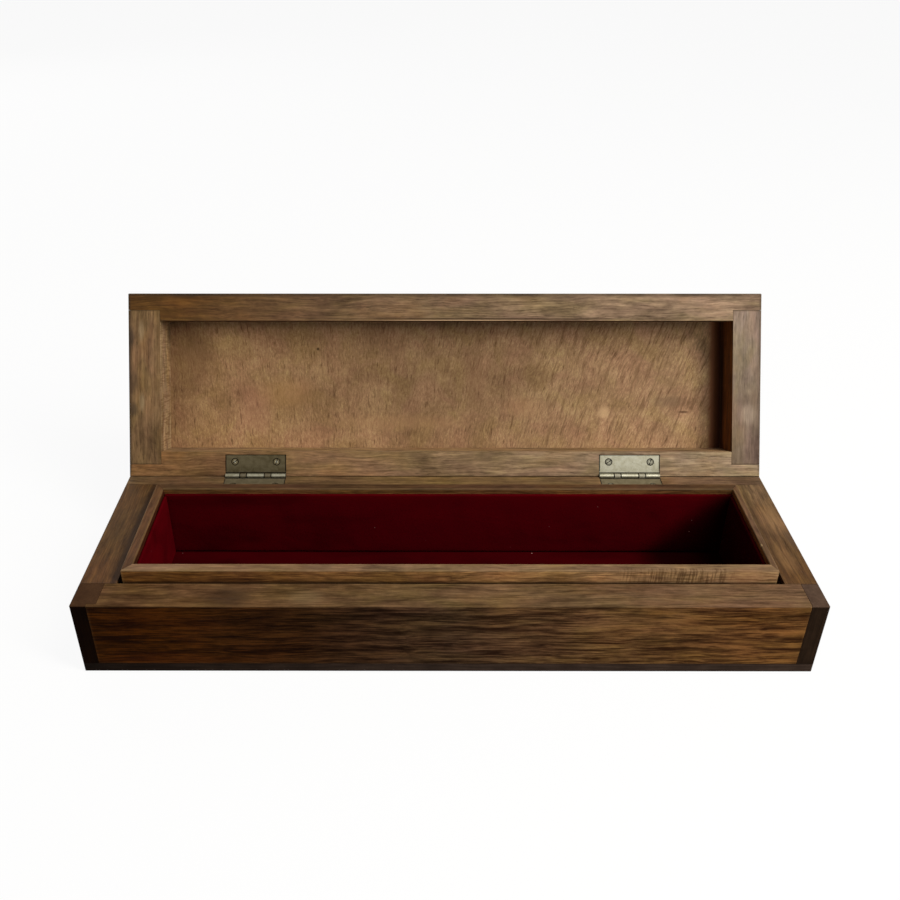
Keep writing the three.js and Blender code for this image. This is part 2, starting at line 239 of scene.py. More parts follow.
class DisplayCaseStage(bpy.types.PropertyGroup):
    """The camera, the lamps and the floor."""

    lens: dial("Lens", "Focal length on a 36 mm sensor, in millimetres", 36.3927, 10, 200)
    pitch: bpy.props.FloatProperty(
        name="Pitch", description="How far the camera looks down", subtype="ANGLE", unit="ROTATION",
        default=math.radians(29.785),
    )
    place: bpy.props.FloatVectorProperty(
        name="Camera", description="Where the camera stands", subtype="TRANSLATION", unit="LENGTH",
        default=(-0.01494, -0.41451, 0.38895),
    )
    light: dial("Main lamp", "Power of the main lamp, in watts", 30, 0, 500)
    surround: dial("Surround", "Strength of the even light from all round", 0.2, 0, 1)


# ------------------------------------------------------------------ finishes


def stained_oak(name, piece, turn, look):
    """Oak, planed, wiped with a dark walnut stain and oiled. Open pores run along the grain as short dark dashes,
    the growth rings wander as darker and lighter streaks, and the stain has taken unevenly, in clouds.

    turn lays the grain along X. look holds what sets this board apart. seed is its place in the log. rim is the
    height of its sanded rim. faces and rims are its colour multipliers, either one or several that follow each
    other along the grain, which also paint light and shade onto the board, and face_contrast and contrast how far
    dark and light grain differ there. rings, bold, sway and pores shape the grain, clouds the stain, and shine the
    oil. edge and edge_colour wear its arrises. foot is the height of its foot, over which painted contact shade
    darkens it, and ends how far from its ends dirt darkens the glue lines. outer is the side of Y whose outer arris
    is darkened with painted shade, and wall the multiplier that paints light and shade on the side that looks into
    the lid. spots are single stains, saw marks, and lines of painted shade and painted highlight, each (middle,
    reach, colour, strength, kind)."""
    wood = bpy.context.scene.display_case_wood
    material, add = finish_for(name)
    here, half, heart = laid(add, piece, turn)
    shift = look["seed"] * Vector((37, 11, 23))

    # The rings sway by a few millimetres over about 50 mm of board.
    sway = add("Mapping", {"Vector": here, "Location": shift, "Scale": (1, 1.6, 1.6)})
    sway = add("TexNoise", {"Vector": sway, "Scale": 0.02, "Detail": 2.0}, out="Color")
    wander, close = look.get("sway", 7), look.get("rings", 0.34)
    grain = add("VectorMath", (sway, (0, wander, wander), here), operation="MULTIPLY_ADD")
    rings = stretched(add, grain, (0.020, close, close), shift=shift * 1.3, detail=3.0, roughness=0.55)
    streaks = stretched(add, grain, (0.048, 1.05, 1.05), shift=shift * 1.7, detail=5.0, roughness=0.65)
    bold = look.get("bold", 0.7)
    figure = add("Math", (streaks, 2.0 - bold), operation="MULTIPLY")
    figure = add("Math", (rings, bold, figure), operation="MULTIPLY_ADD")
    # Pores: dashes about 5 mm long and half a millimetre apart, which is coarser than oak's own so that they show.
    fine = 1 / wood.pore_width
    pores = stretched(add, grain, (fine * 0.09, fine, fine), shift=shift * 2.1)
    pore = add("MapRange", (pores, 0.55, 0.72))
    porous = add("Math", (pore, add("MapRange", (rings, 0.62, 0.40, 0.25))), operation="MULTIPLY")

    along, across, height = add("SeparateXYZ", (here,)).node.outputs
    slope = add("MapRange", (along, -half[0], half[0]))
    cuts = []
    # The multipliers also paint light and shade: each face and rim is drawn lighter or darker by how the lamp falls
    # on it.
    for colours, by, contrast in (
        ((wood.face_dark, wood.face_middle, wood.face_light), look["faces"], look.get("face_contrast", 0.9)),
        ((wood.rim_dark, wood.rim_middle, wood.rim_light), look["rims"], look.get("contrast", 0.75)),
    ):
        by = by if isinstance(by[0], tuple) else (by, by, by)
        tone = add("MapRange", (figure, 1.0 - 0.26 / contrast, 1.0 + 0.26 / contrast))
        stops = [(at, shade(colour)) for at, colour in zip((0.06, 0.5, 0.94), colours)]
        grained = add("ValToRGB", (tone,), stops=stops)
        # A ramp holds no colour over 1, so it holds a quarter of each multiplier.
        stops = [(at, shade(colour, 0.25)) for at, colour in zip(np.linspace(0.08, 0.92, len(by)), by)]
        run = add("ValToRGB", (slope,), stops=stops)
        whole = add("VectorMath", (run, (4, 4, 4)), operation="MULTIPLY")
        cuts.append(paint(add, grained, whole, 1.0, blend_type="MULTIPLY"))

    # The rim is paler and greyer than the faces: partly sanded after staining, partly painted light, the tops drawn
    # more lit than the faces below them.
    off_rim = add("Math", (height, look["rim"] - heart[2]), operation="SUBTRACT")
    on_rim = add("MapRange", (add("Math", (off_rim,), operation="ABSOLUTE"), 1.1, 0.35))
    colour = paint(add, cuts[0], cuts[1], on_rim)

    # Clouds of stain, 20 to 60 mm across.
    clouds = stretched(add, here, (0.022, 0.05, 0.05), shift=shift * 0.7, detail=4.0, roughness=0.6, distortion=0.4)
    taken = add("ValToRGB", (clouds,), stops=[(0.30, "#b9b4b4"), (0.5, (1, 1, 1, 1)), (0.72, "#fff4e2")])
    colour = paint(add, colour, taken, look.get("clouds", 0.9), blend_type="MULTIPLY")
    # Its hue drifts between olive and a pinkish grey.
    drift = stretched(add, here, (0.03, 0.09, 0.09), shift=shift * 0.4, detail=3.0, distortion=0.5)
    hue = add(
        "ValToRGB", (drift,),
        stops=[(0.34, (0.90, 0.93, 0.80, 1)), (0.5, (0.97, 0.96, 0.95, 1)), (0.66, (1.0, 0.93, 1.0, 1))],
    )
    colour = paint(add, colour, hue, 0.85, blend_type="MULTIPLY")
    # Uneven sanding and the tooth it left make a mottle, from about 7 mm down to a fraction of a millimetre.
    mottle = stretched(add, here, (0.14, 0.3, 0.3), shift=shift * 0.9, detail=5.0, roughness=0.64)
    mottle = add("MapRange", (mottle, 0.3, 0.7, 0.78, 1.22))
    colour = add("VectorMath", {0: colour, "Scale": mottle}, operation="SCALE")
    if "wall" in look:
        # Painted light and shade on the side that looks into the lid's recess: the left stile's and back rail's walls
        # are drawn lighter, as lit by the lamp, and the right stile's darker, in its shadow.
        inward = add("Math", (across, -float(look["outer"])), operation="MULTIPLY")
        inward = add("MapRange", (inward, half[1] - 0.9, half[1] - 0.4))
        inward = add("Math", (inward, add("Math", (1.0, on_rim), operation="SUBTRACT")), operation="MULTIPLY")
        walled = add("VectorMath", (colour, look["wall"]), operation="MULTIPLY")
        colour = paint(add, colour, walled, inward)
    colour = paint(add, colour, "#2a1a10", porous, look.get("pores", 0.6))

    relief = add("Math", (porous, -0.7, streaks), operation="MULTIPLY_ADD")
    # Painted contact shade along the foot of a proud strip, where it meets the rim, and dirt in the glue lines at a
    # board's ends.
    if "foot" in look:
        foot = look["foot"] - heart[2]
        colour = paint(add, colour, "#1c120b", add("MapRange", (height, foot + 1.9, foot, 0.0, 0.9)))
    if "ends" in look:
        end = add("Math", (along,), operation="ABSOLUTE")
        end = add("MapRange", (end, half[0] - look["ends"], half[0] - 0.3, 0.0, 0.4))
        colour = paint(add, colour, "#1c120b", end)
    for centre, reach, ink, strength, kind in look.get("spots", ()):
        near, amount = round_spot(add, here, [c - h for c, h in zip(centre, heart)], reach, 0.25)
        if kind == "saw":
            # A blade's teeth leave fine lines square to the grain, about 1.4 mm apart.
            teeth = stretched(add, here, (0.95, 0.10, 0.10), shift=shift * 0.61)
            cut = add("MapRange", (teeth, 0.47, 0.60))
            x, y, z = add("SeparateXYZ", (add("VectorMath", (near,), operation="ABSOLUTE"),)).node.outputs
            widest = add("Math", (x, add("Math", (y, z), operation="MAXIMUM")), operation="MAXIMUM")
            amount = add("Math", (cut, add("MapRange", (widest, 1.0, 0.85))), operation="MULTIPLY")
        elif kind == "stain":
            taken = add("MapRange", (streaks, 0.35, 0.6, 0.45))
            amount = add("Math", (amount, taken), operation="MULTIPLY")
        colour = paint(add, colour, ink, amount, strength)

    # Arrises: a point's distance from the board's nearest edge is the middle one of its three distances to the faces.
    dx, dy, dz = from_edges(add, here, half)
    least = add("Math", (dx, dy), operation="MINIMUM")
    most = add("Math", (dx, dy), operation="MAXIMUM")
    second = add("Math", (least, add("Math", (most, dz), operation="MINIMUM")), operation="MAXIMUM")
    wear_and_shine = add("MapRange", (second, 1.3, 0.2))
    broken = add("MapRange", (clouds, 0.35, 0.6, 0.35))
    wear = add("Math", (wear_and_shine, broken), operation="MULTIPLY")
    colour = paint(add, colour, look.get("edge_colour", "#a08457"), wear, look.get("edge", 0.35))

    if "outer" in look:
        # Painted shade along the outer arris of the lid's rim, where the rounded edge turns away from the light,
        # broken up in patches.
        grime = add("Math", (across, float(look["outer"])), operation="MULTIPLY")
        grime = add("MapRange", (grime, half[1] - 3.0, half[1] - 0.9))
        grime = add("Math", (grime, add("MapRange", (off_rim, 2.4, 1.2))), operation="MULTIPLY")
        grime = add("Math", (grime, broken), operation="MULTIPLY")
        colour = paint(add, colour, "#2a211a", grime, look.get("grime", 0.85))

    rough = add("Math", (porous, 0.2, wood.roughness), operation="MULTIPLY_ADD")
    coat(
        add, relief, 0.45, 0.25,
        {"Base Color": colour, "Roughness": rough, "Specular IOR Level": look.get("shine", 0.1), "IOR": 1.5},
    )
    return material


def dyed_maple(name, turn, seed, ends, left=1.0):
    """Maple, dyed nearly black and rubbed with oil: close-grained, so it shows hardly any pores,
    only a faint grain and a soft shine. ends are its colours at the foot and at the rim, and left is how much of them
    is left at the left end of the case, which is drawn darker: partly the dye, partly painted shade away from the
    lamp."""
    material, add = finish_for(name)
    place, here = measured(add, (seed * 31, seed * 17, seed * 7), turn)
    grain = stretched(add, here, (0.05, 0.9, 0.9), detail=4.0)
    clouds = add("TexNoise", {"Vector": here, "Scale": 0.09, "Detail": 3.0})
    along, _, height = add("SeparateXYZ", (place,)).node.outputs
    # The top is browner and lighter than the faces: partly sanded back with the rim, partly painted light from above.
    top = add("MapRange", (height, 48.0 * MM, 48.5 * MM))
    foot, rim = (linear(c) for c in ends)
    dark = paint(add, foot, shade(foot, 1.7), add("MapRange", (grain, 0.35, 0.65)))
    pale = paint(add, rim, shade(rim, 1.35), add("MapRange", (grain, 0.3, 0.7)))
    colour = paint(add, dark, pale, top)
    uneven = add("ValToRGB", (clouds,), stops=[(0.35, "#a8a0a0"), (0.65, (1, 1, 1, 1))])
    colour = paint(add, colour, uneven, 0.5, blend_type="MULTIPLY")
    darker_left = add("MapRange", (along, -0.2, 0.02, left))
    colour = add("VectorMath", {0: colour, "Scale": darker_left}, operation="SCALE")
    rough = add("MapRange", (clouds, 0.3, 0.7, 0.42, 0.55))
    coat(add, grain, 0.2, 0.1, {"Base Color": colour, "Roughness": rough, "Specular IOR Level": 0.006, "IOR": 1.5})
    return material


def oak_plywood(name, piece, turn):
    """Oak-faced plywood, sanded and wiped with the same stain. The veneer's grain runs across the lid as short,
    fine dashes that lean over towards the right end, and glue and filler have kept the stain out in soft clouds.
    The outer veneer's grain runs along the lid. Painted light and shade run across and along the panel, and a strip
    next to the right end is drawn nearly black: painted shadow of the right stile. The sawn edges show the plies."""
    wood = bpy.context.scene.display_case_wood
    material, add = finish_for(name)
    # X along the lid, Y towards the hinges, Z up through the shut lid.
    here, half, heart = laid(add, piece, turn)
    along, across, height = add("SeparateXYZ", (here,)).node.outputs

    # The dashes lean by up to 21 degrees at the right end and a little the other way at the left.
    lean = add("MapRange", (along, -150.0, 150.0, -0.10, 0.38), interpolation_type="SMOOTHSTEP")
    drift = add("TexNoise", {"Vector": here, "Scale": 0.03, "Detail": 2.0})
    leaned = add("Math", (across, lean, along), operation="MULTIPLY_ADD")
    leaned = add("Math", (drift, 5.0, leaned), operation="MULTIPLY_ADD")
    veneer = add("CombineXYZ", (leaned, across, height))
    dashes = stretched(add, veneer, (0.95, 0.12, 0.3), roughness=0.6)
    bands = stretched(add, veneer, (0.42, 0.035, 0.1), shift=(5, 9, 2), detail=3.0, roughness=0.6)
    flecks = stretched(add, veneer, (1.2, 0.45, 0.5), detail=4.0, roughness=0.7)
    clouds = stretched(add, here, (0.035, 0.045, 0.03), shift=(3, 7, 1), detail=5.0, roughness=0.6, distortion=0.5)

    tone = add("Math", (bands, 0.35, clouds), operation="MULTIPLY_ADD")
    tone = add("Math", (flecks, 1.5, tone), operation="MULTIPLY_ADD")
    tone = add("MapRange", (tone, 1.01, 1.84))
    inner = add(
        "ValToRGB", (tone,), stops=[(0.1, "#76573b"), (0.45, "#8b6848"), (0.75, "#9d7a55"), (0.95, "#aa885e")]
    )
    # The outer veneer's grain runs along the lid, with wandering rings and rows of open pores.
    rings = stretched(add, here, (0.016, 0.19, 0.3), shift=(7, 3, 2), detail=6.0, roughness=0.68, distortion=0.35)
    outer = add(
        "ValToRGB", (rings,),
        stops=[
            (0.34, shade(wood.face_dark, 0.75)), (0.5, shade(wood.face_middle, 0.7)),
            (0.66, shade(wood.face_middle, 0.85)),
        ],
    )
    rows = stretched(add, here, (0.14, 1.7, 1.0))
    rows = add("MapRange", (rows, 0.56, 0.70, 0.0, 0.65))
    outer = paint(add, outer, "#1d120a", rows)
    inside = add("Math", (height, 0.3 - half[2]), operation="LESS_THAN")
    patches = stretched(add, here, (0.05, 0.045, 0.03), shift=(31, 4, 8), detail=4.0, roughness=0.6, distortion=0.6)
    hue = add(
        "ValToRGB", (patches,),
        stops=[(0.36, (0.92, 0.94, 0.82, 1)), (0.5, (0.96, 0.95, 0.93, 1)), (0.64, (1.0, 0.93, 0.97, 1))],
    )
    # Lighter and bluer towards the right end.
    rightward_lift = add("MapRange", (along, -half[0], half[0]))
    rightward_lift = add("Mix", {0: rightward_lift, 4: (1.0, 1.04, 1.06), 5: (1.24, 1.41, 1.62)}, data_type="VECTOR", out=1)
    colour = add("VectorMath", (inner, rightward_lift), operation="MULTIPLY")
    # Painted light and shade: a dark line under the front rail, lighter just below it where the lamp's shadow falls,
    # darker in the middle, and lighter again towards the right end, against the right stile's shadow.
    for run, stops in (
        (across, ((-41, 0.85), (-37, 1.4), (-31, 1.35), (-22, 0.97), (-8, 0.84), (8, 0.91), (24, 1.05), (37, 1.13))),
        (
            along,
            (
                (-178, 0.86), (-150, 1.18), (-90, 1.04), (-20, 0.82), (60, 0.91), (125, 1.04), (152, 0.93),
                (165, 1.45), (172, 1.6),
            ),
        ),
    ):
        first, last = stops[0][0], stops[-1][0]
        places = add("MapRange", (run, float(first), float(last)))
        by = add("ValToRGB", (places,), stops=[((x - first) / (last - first), (v / 2,) * 3 + (1,)) for x, v in stops])
        # A ramp holds no value over 1, so it holds half of each.
        by = add("VectorMath", (by, (2, 2, 2)), operation="MULTIPLY")
        colour = add("VectorMath", (colour, by), operation="MULTIPLY")
    colour = paint(add, outer, colour, inside)
    colour = paint(add, colour, hue, 0.9, blend_type="MULTIPLY")

    dash = add("MapRange", (dashes, 0.57, 0.68))
    crowd = add("MapRange", (bands, 0.62, 0.42, 0.3))
    dash = add("Math", (add("Math", (dash, crowd), operation="MULTIPLY"), inside), operation="MULTIPLY")
    colour = paint(add, colour, "#4d3421", dash, 0.7)

    # Towards the right end they run together into strokes about 12 mm long.
    strokes = stretched(add, veneer, (0.5, 0.05, 0.3), shift=(2, 5, 8))
    strokes = add("MapRange", (strokes, 0.54, 0.66))
    strokes = add("Math", (strokes, add("MapRange", (along, -10.0, 80.0, 0.12, 0.5))), operation="MULTIPLY")
    strokes = add("Math", (strokes, inside), operation="MULTIPLY")
    colour = paint(add, colour, "#5f442d", strokes)

    # Single marks: a pink patch, a knot's dot, a pale dent, two grey smears and the painted shadow at the right end.
    for centre, reach, ink, strength in (
        ((-124, 16), (16, 24), "#a3735a", 0.3),
        ((-82.8, -24.4), (1.3, 1.3), "#2f1f14", 0.95),
        ((105.8, 17), (5, 6), "#c6a67c", 0.55),
        ((-165, -20), (22, 26), "#6d5233", 0.45),
        ((148, 10), (16, 6), "#6b5540", 0.5),
        ((52, 14), (18, 10), "#9c7455", 0.35),
        ((158, 17), (5, 1.2), "#4a3222", 0.8),
        ((20, -4), (9, 26), "#6f5138", 0.35),
        ((-104, 5), (26, 14), "#a27c50", 0.45),
        ((-30, 24), (60, 8), "#a5805a", 0.35),
    ):
        centre = centre[0] - heart[0], centre[1] - heart[1], 0
        amount = round_spot(add, here, centre, (*reach, 0), 0.2)[1]
        amount = add("Math", (amount, inside), operation="MULTIPLY")
        colour = paint(add, colour, ink, amount, strength)
    # Painted shadow: a strip along the right end, darkening to nearly black at the stile, where its shadow falls.
    shadow_strip_mask = add("MapRange", (along, 172.9 - heart[0], 177.0 - heart[0]), interpolation_type="SMOOTHSTEP")
    strip = add("MapRange", (along, 175.0 - heart[0], 183.0 - heart[0]))
    strip = add(
        "ValToRGB", (strip,),
        stops=[(0.0, "#a06c4a"), (0.25, "#8b5b3d"), (0.5, "#5f381f"), (0.75, "#40200f"), (1.0, "#1d0b01")],
    )
    colour = paint(add, colour, strip, add("Math", (shadow_strip_mask, inside), operation="MULTIPLY"))
    # The sawn edges show five plies, light where the grain runs along the edge and dark where it ends.
    ply = 1.26
    cosine = add("Math", (add("Math", (height, math.pi / ply), operation="MULTIPLY"),), operation="COSINE")
    plies = add("MapRange", (add("Math", (flecks, 0.8, cosine), operation="MULTIPLY_ADD"), 0.1, 0.7))
    plies = paint(add, linear("#3d2918"), "#6f5233", plies)
    dx, dy, _ = from_edges(add, here, half)
    edge = add("Math", (add("Math", (dx, dy), operation="MINIMUM"), 0.25), operation="LESS_THAN")
    colour = paint(add, colour, plies, edge)

    relief = add("Math", (dash, -0.8, flecks), operation="MULTIPLY_ADD")
    rough = add("Math", (dash, 0.2, wood.roughness), operation="MULTIPLY_ADD")
    coat(add, relief, 0.4, 0.2, {"Base Color": colour, "Roughness": rough, "Specular IOR Level": 0.08, "IOR": 1.5})
    return material


def cotton_velvet(name, seed, lint, depth=1.0, far=1.0):
    """Cotton velvet, woven with a short upright pile and glued over card. Light grazing the tips gives a red sheen
    at the edges and folds, the pile lies slightly different ways in soft patches, and lint clings to it as pale
    specks. depth is how strong its colour is."""
    velvet = bpy.context.scene.display_case_velvet
    material, add = finish_for(name)
    place, here = measured(add, (seed * 13, seed * 29, seed * 5))
    tufts = add("TexNoise", {"Vector": here, "Scale": 1 / velvet.cord, "Detail": 2.0, "Roughness": 0.7})
    strokes = stretched(add, here, (0.018, 0.05, 0.05), detail=3.0, distortion=0.6)
    lie = add("Math", (tufts, 0.35, strokes), operation="MULTIPLY_ADD")
    pile = add("MapRange", (lie, 0.45, 0.90))
    base, tips = shade(velvet.colour, depth), shade(velvet.nap, depth)
    deep = shade(base, 0.62)
    colour = add(
        "ValToRGB", (pile,),
        stops=[(0.0, deep), (0.5, base), (1.0, tuple(0.8 * b + 0.2 * t for b, t in zip(base, tips)))],
    )
    # Painted shadow: towards the right end, and sooner the deeper it lies, the pile is drawn darker along a slanting
    # edge, where the right wall's shadow falls into the well. far is how much of its colour is left there.
    right, _, up = add("SeparateXYZ", (place,)).node.outputs
    deeper = add("Math", (up, -0.86, right), operation="MULTIPLY_ADD")
    end = add("MapRange", (deeper, 0.105, 0.129, 1.0, far), interpolation_type="SMOOTHSTEP")
    colour = add("VectorMath", {0: colour, "Scale": end}, operation="SCALE")
    # Lint: one fibre or crumb every 20 mm or so, half a millimetre across.
    crumbs = add("TexVoronoi", {"Vector": here, "Scale": 0.11, "Randomness": 1.0})
    fibre = add("MapRange", (crumbs, 0.045, 0.02))
    chosen = add("Math", (strokes, 0.52), operation="GREATER_THAN")
    amount = add("Math", (add("Math", (fibre, chosen), operation="MULTIPLY"), lint), operation="MULTIPLY")
    colour = paint(add, colour, "#b98f86", amount)
    relief = add("Math", (strokes, 2.0, tufts), operation="MULTIPLY_ADD")
    coat(
        add, relief, 0.55, 0.35,
        {
            "Base Color": colour, "Roughness": 0.95, "Specular IOR Level": 0.01, "Sheen Weight": 0.3,
            "Sheen Roughness": 0.4, "Sheen Tint": tips,
        },
    )
    return material


def nickel_plate(name, piece, seed, plate, dirt, metallic=1.0, barrel=None):
    """Steel strip, pressed, rolled into knuckles and nickel-plated, then polished with fine scratches along its
    length. Years of handling leave a dull yellowish film in clouds and dirt in the slots and hollows, and painted
    shade darkens the hollows too, a leaf's edges, its bend into the knuckles and the ring round each screw head. The
    barrel has a colour of its own: painted reflection, lighter or darker as it catches the light. metallic is lower
    where dirt and painted shade hide the plate."""
    metal = bpy.context.scene.display_case_metal
    material, add = finish_for(name)
    place, here = measured(add, (seed * 19, seed * 3, seed * 41))
    fine = 1 / metal.brushing
    scratch = stretched(add, here, (0.06 * fine, fine, fine), detail=3.0, roughness=0.7)
    film = add("TexNoise", {"Vector": here, "Scale": 0.22, "Detail": 4.0, "Roughness": 0.6, "Distortion": 0.7})
    specks = add("TexNoise", {"Vector": here, "Scale": 1.1, "Detail": 3.0, "Roughness": 0.7})
    # Millimetres from the pin's axis.
    low, high = (Vector(corner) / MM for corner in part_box(piece))
    reach = add("Mapping", {"Vector": place, "Location": [0, -PIN.y / MM, -PIN.z / MM], "Scale": (0, 1 / MM, 1 / MM)})
    radius = add("VectorMath", (reach,), operation="LENGTH", out="Value")
    colour = shade(plate)
    # Painted reflection: the barrel takes a colour of its own, lighter or darker than the leaf as it catches the
    # light.
    if barrel:
        wear_and_shine = add("MapRange", (radius, 1.95, 1.7))
        colour = paint(add, colour, shade(barrel), wear_and_shine)
    cover = add("MapRange", (film, 0.42, 0.68, 0.0, dirt))
    dulled = add("VectorMath", (colour, (0.58, 0.56, 0.48)), operation="MULTIPLY")
    colour = paint(add, colour, dulled, cover)
    spot = add("MapRange", (specks, 0.60, 0.74, 0.0, 0.6))
    colour = paint(add, colour, "#3a342a", spot)
    # Dirt and painted shade: the occlusion darkens the screw slots and the gaps between the knuckles, and painted
    # shade runs along a leaf's edges, at its bend into the knuckles and in the ring round each screw head.
    open_ = add("AmbientOcclusion", {"Distance": 0.9 * MM}, out="AO", samples=8)
    dirt_and_shade = add("MapRange", (open_, 0.85, 0.5, 0.0, 0.92))
    # Painted shade along the leaf's outer edges, where it meets the wood, and at its bend into the knuckles.
    if piece.endswith("leaf"):
        width = add("Math", (add("SeparateXYZ", (place,)), 1 / MM, -(low.x + high.x) / 2), operation="MULTIPLY_ADD")
        width, edge = add("Math", (width,), operation="ABSOLUTE"), (high.x - low.x) / 2
        side = add("MapRange", (width, edge - 0.55, edge - 0.25, 0.0, 0.8))
        far = max(math.hypot(y - PIN.y / MM, z - PIN.z / MM) for y in (low.y, high.y) for z in (low.z, high.z))
        tip = add("MapRange", (radius, far - 0.9, far - 0.5, 0.0, 0.8))
        away = add("Math", (radius, 3.0), operation="GREATER_THAN")
        outline = add("Math", (add("Math", (side, tip), operation="MAXIMUM"), away), operation="MULTIPLY")
        dirt_and_shade = add("Math", (dirt_and_shade, outline), operation="MAXIMUM")
        crease = add("Math", (add("Math", (radius, 2.1), operation="SUBTRACT"),), operation="ABSOLUTE")
        crease = add("MapRange", (crease, 0.45, 0.2, 0.0, 0.85))
        dirt_and_shade = add("Math", (dirt_and_shade, crease), operation="MAXIMUM")
    if "screw" in piece:
        # The driver has burnished the middle of the head, and the ring round it is darkened with painted shade.
        turn = (SHUT if "lid" in piece else 0, 0, 0)
        head, half, _ = laid(add, frame["nodes"][piece], turn)
        away = add("Mapping", {"Vector": head, "Scale": (1, 1, 0)})
        away = add("VectorMath", (away,), operation="LENGTH", out="Value")
        worn = add("MapRange", (away, 1.0, 0.5))
        colour = paint(add, colour, shade(metal.bright), worn)
        ring = add("MapRange", (away, half[0] - 0.5, half[0] - 0.2, 0.0, 0.85))
        dirt_and_shade = add("Math", (dirt_and_shade, ring), operation="MAXIMUM")
    colour = paint(add, colour, "#15110c", dirt_and_shade)
    rough = add("MapRange", (add("Math", (scratch, film), operation="ADD"), 0.7, 1.3, 0.4, 0.62))
    coat(add, scratch, 0.3, 0.06, {"Base Color": colour, "Metallic": metallic, "Roughness": rough})
    return material


# ------------------------------------------------------------------ velvet pieces


def grid_mesh(name, rings, poles):
    """A closed mesh of rings of points, each ring joined to the next, with a pole at either end.
    rings is an array of (rings, points, 3); poles are the two end points."""
    many, round_ = rings.shape[:2]
    points = np.concatenate([rings.reshape(-1, 3), np.array(poles)])
    i, j = np.meshgrid(np.arange(many - 1), np.arange(round_), indexing="ij")
    k = (j + 1) % round_
    quads = np.stack([i * round_ + j, i * round_ + k, (i + 1) * round_ + k, (i + 1) * round_ + j], -1).reshape(-1, 4)
    j = np.arange(round_)
    k = (j + 1) % round_
    start = np.stack([k, j, np.full(round_, many * round_)], -1)
    end = np.stack([(many - 1) * round_ + j, (many - 1) * round_ + k, np.full(round_, many * round_ + 1)], -1)
    mesh = bpy.data.meshes.new(name)
    mesh.from_pydata(points.tolist(), [], quads.tolist() + start.tolist() + end.tolist())
    volume = np.einsum("ij,ij->i", points[quads[:, 0]], np.cross(points[quads[:, 1]], points[quads[:, 2]])).sum()
    if volume < 0:
        mesh.flip_normals()
    mesh.polygons.foreach_set("use_smooth", np.ones(len(mesh.polygons), bool))
    mesh.update()
    piece = bpy.data.objects.new(name, mesh)
    bpy.context.scene.collection.objects.link(piece)
    return piece


def wrapped_board(name, low, high, long, face, corner, crown, step, settle):
    """A thin board wrapped in cloth, as a profile carried along its long axis.

    The profile is a rectangle with its corners rounded by a quarter circle of radius corner. Towards each end the
    whole profile shrinks by corner - sqrt(corner^2 - (corner - e)^2), where e is the distance left to the end, so
    the ends are as round as the sides. On the side that looks along face (an axis and a sign) the cloth stands up
    by crown * (1 - s^2) * (1 - t^8), with s and t running from -1 to 1 across and along it, and ripples by settle,
    a sum of slow sines."""
    low, high = np.array(low), np.array(high)
    up = face[0]
    side = ({0, 1, 2} - {long, up}).pop()
    half = (high - low) / 2
    a, b = half[side], half[up] - crown / 2
    length = high[long] - low[long]

    def spread(size):
        return np.linspace(-1, 1, max(3, int(round(size / step)) + 1))

    turn = np.linspace(0, math.pi / 2, 6)
    wide, tall = spread(2 * (a - corner)) * (a - corner), spread(2 * (b - corner)) * (b - corner)
    core, reach = [], []
    # Each corner's arc, and then the straight run to the next: along the top, down the left side, and back.
    for number, (x, y) in enumerate(((1, 1), (-1, 1), (-1, -1), (1, -1))):
        centre, swing = np.array([x * (a - corner), y * (b - corner)]), turn + number * math.pi / 2
        core.append(np.tile(centre, (len(swing), 1)))
        reach.append(np.stack([np.cos(swing), np.sin(swing)], -1))
        axis = number % 2
        run = (wide, tall)[axis][:: 1 if number > 1 else -1][1:-1]
        core.append(np.tile(centre, (len(run), 1)))
        core[-1][:, axis] = run
        reach.append(np.zeros((len(run), 2)))
        reach[-1][:, 1 - axis] = (x, y)[1 - axis]
    core, reach = np.concatenate(core), np.concatenate(reach)

    ends = corner * (1 - np.cos(turn))[:-1]
    inner = np.linspace(corner, length - corner, max(3, int(round((length - 2 * corner) / step)) + 1))
    along = np.concatenate([ends, inner, (length - ends)[::-1]])
    left = np.minimum(np.minimum(along, length - along), corner)
    radius = np.sqrt(np.maximum(corner**2 - (corner - left) ** 2, 0))
    across = core[None, :, 0] + reach[None, :, 0] * radius[:, None]
    height = core[None, :, 1] + reach[None, :, 1] * radius[:, None]
    s, t, x = across / a, (2 * along / length - 1)[:, None], along[:, None]
    fade = np.clip(1 - t**8, 0, 1)
    swell = crown * np.clip(1 - s**2, 0, 1) * fade
    ripple = np.sin(x * 260 + s * 2.1) * np.sin(x * 93 + 1.3 - s * 1.4) + 0.6 * np.sin(x * 410 + s * 3 + 0.7)
    lifted = swell * (1 + 0.12 * ripple) + settle * ripple * np.clip(1 - s**4, 0, 1) * fade
    lifted *= np.clip(reach[None, :, 1], 0, 1)

    centre = (low + high) / 2
    rings = np.zeros(across.shape + (3,))
    rings[..., long] = low[long] + along[:, None]
    rings[..., side] = centre[side] + across
    rings[..., up] = centre[up] + face[1] * (height - crown / 2 + lifted)
    poles = np.stack([rings[0].mean(0), rings[-1].mean(0)])
    return grid_mesh(name, rings, poles)


